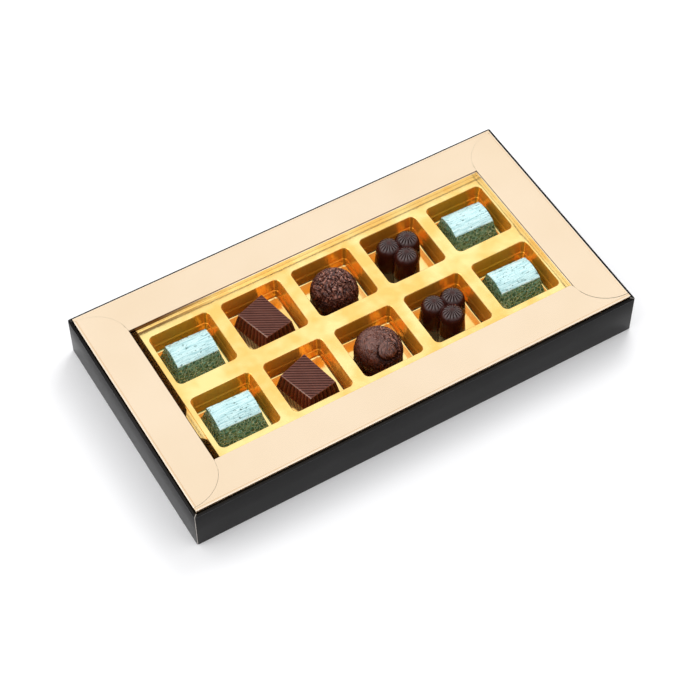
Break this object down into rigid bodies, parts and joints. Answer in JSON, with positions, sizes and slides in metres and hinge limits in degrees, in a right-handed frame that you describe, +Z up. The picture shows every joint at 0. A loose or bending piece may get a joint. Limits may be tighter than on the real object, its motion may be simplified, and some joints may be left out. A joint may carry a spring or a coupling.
{
  "type": "chocolate box",
  "caption": "Shallow black carton with a gold card frame of fold-in flaps around a formed gold tray, whose square cavities hold foil-wrapped, ridged, rough and nut-shaped pralines.",
  "frame": {"origin": "centre of the carton's underside, on the surface it stands on", "axes": "+X along the box to its right end as pictured, +Y to its back, +Z up"},
  "size_m": [0.24, 0.1284, 0.0252],
  "materials": {
    "black_card": "black paper with a fine tooth over board, a little sheen",
    "gold_card": "pale gold metallic coating, satin",
    "gold_film": "metallised to a gold mirror",
    "foil": "light blue-green printed foil, bright and finely creased",
    "praline_core": "smooth dark chocolate",
    "ridged_chocolate": "milk chocolate with a silky bloom",
    "truffle_chocolate": "rough chocolate flakes",
    "nut_chocolate": "glossy dark chocolate"
  },
  "bodies": {
    "carton": {"outer_tray": "black_card"},
    "frame": {"frame_wall": "gold_card", "window_liner": "gold_card"},
    "flap_front": {"flap_front": "gold_card"},
    "flap_back": {"flap_back": "gold_card"},
    "flap_left": {"flap_left": "gold_card"},
    "flap_right": {"flap_right": "gold_card"},
    "tray": {"cavity_tray": "gold_film"},
    "loaf_1": {"foil_wrapper_1": "foil", "foil_praline_1": "praline_core"},
    "loaf_2": {"foil_wrapper_2": "foil", "foil_praline_2": "praline_core"},
    "loaf_3": {"foil_wrapper_3": "foil", "foil_praline_3": "praline_core"},
    "loaf_4": {"foil_wrapper_4": "foil", "foil_praline_4": "praline_core"},
    "ridged_1": {"ridged_praline_1": "ridged_chocolate"},
    "truffle_1": {"truffle_1": "truffle_chocolate"},
    "nuts_1": {"nut_cluster_1": "nut_chocolate"},
    "ridged_2": {"ridged_praline_2": "ridged_chocolate"},
    "truffle_2": {"truffle_2": "truffle_chocolate"},
    "nuts_2": {"nut_cluster_2": "nut_chocolate"}
  },
  "joints": [
    {"name": "frame_lift", "type": "slide", "parent": "carton", "child": "frame", "axis": [0, 0, 1], "range_m": [0, 0.04]},
    {"name": "tray_lift", "type": "slide", "parent": "carton", "child": "tray", "axis": [0, 0, 1], "range_m": [0, 0.04]},
    {"name": "flap_front_fold", "type": "hinge", "parent": "frame", "child": "flap_front", "pos_m": [0, -0.06215, 0.02495], "axis": [1, 0, 0], "range_deg": [0, 170]},
    {"name": "flap_back_fold", "type": "hinge", "parent": "frame", "child": "flap_back", "pos_m": [0, 0.06215, 0.02495], "axis": [-1, 0, 0], "range_deg": [0, 170]},
    {"name": "flap_left_fold", "type": "hinge", "parent": "frame", "child": "flap_left", "pos_m": [-0.1179, 0, 0.02495], "axis": [0, -1, 0], "range_deg": [0, 170]},
    {"name": "flap_right_fold", "type": "hinge", "parent": "frame", "child": "flap_right", "pos_m": [0.1179, 0, 0.02495], "axis": [0, 1, 0], "range_deg": [0, 170]},
    {"name": "loaf_1_lift", "type": "slide", "parent": "tray", "child": "loaf_1", "axis": [0, 0, 1], "range_m": [0, 0.04]},
    {"name": "loaf_2_lift", "type": "slide", "parent": "tray", "child": "loaf_2", "axis": [0, 0, 1], "range_m": [0, 0.04]},
    {"name": "loaf_3_lift", "type": "slide", "parent": "tray", "child": "loaf_3", "axis": [0, 0, 1], "range_m": [0, 0.04]},
    {"name": "loaf_4_lift", "type": "slide", "parent": "tray", "child": "loaf_4", "axis": [0, 0, 1], "range_m": [0, 0.04]},
    {"name": "ridged_1_lift", "type": "slide", "parent": "tray", "child": "ridged_1", "axis": [0, 0, 1], "range_m": [0, 0.04]},
    {"name": "truffle_1_lift", "type": "slide", "parent": "tray", "child": "truffle_1", "axis": [0, 0, 1], "range_m": [0, 0.04]},
    {"name": "nuts_1_lift", "type": "slide", "parent": "tray", "child": "nuts_1", "axis": [0, 0, 1], "range_m": [0, 0.04]},
    {"name": "ridged_2_lift", "type": "slide", "parent": "tray", "child": "ridged_2", "axis": [0, 0, 1], "range_m": [0, 0.04]},
    {"name": "truffle_2_lift", "type": "slide", "parent": "tray", "child": "truffle_2", "axis": [0, 0, 1], "range_m": [0, 0.04]},
    {"name": "nuts_2_lift", "type": "slide", "parent": "tray", "child": "nuts_2", "axis": [0, 0, 1], "range_m": [0, 0.04]}
  ]
}
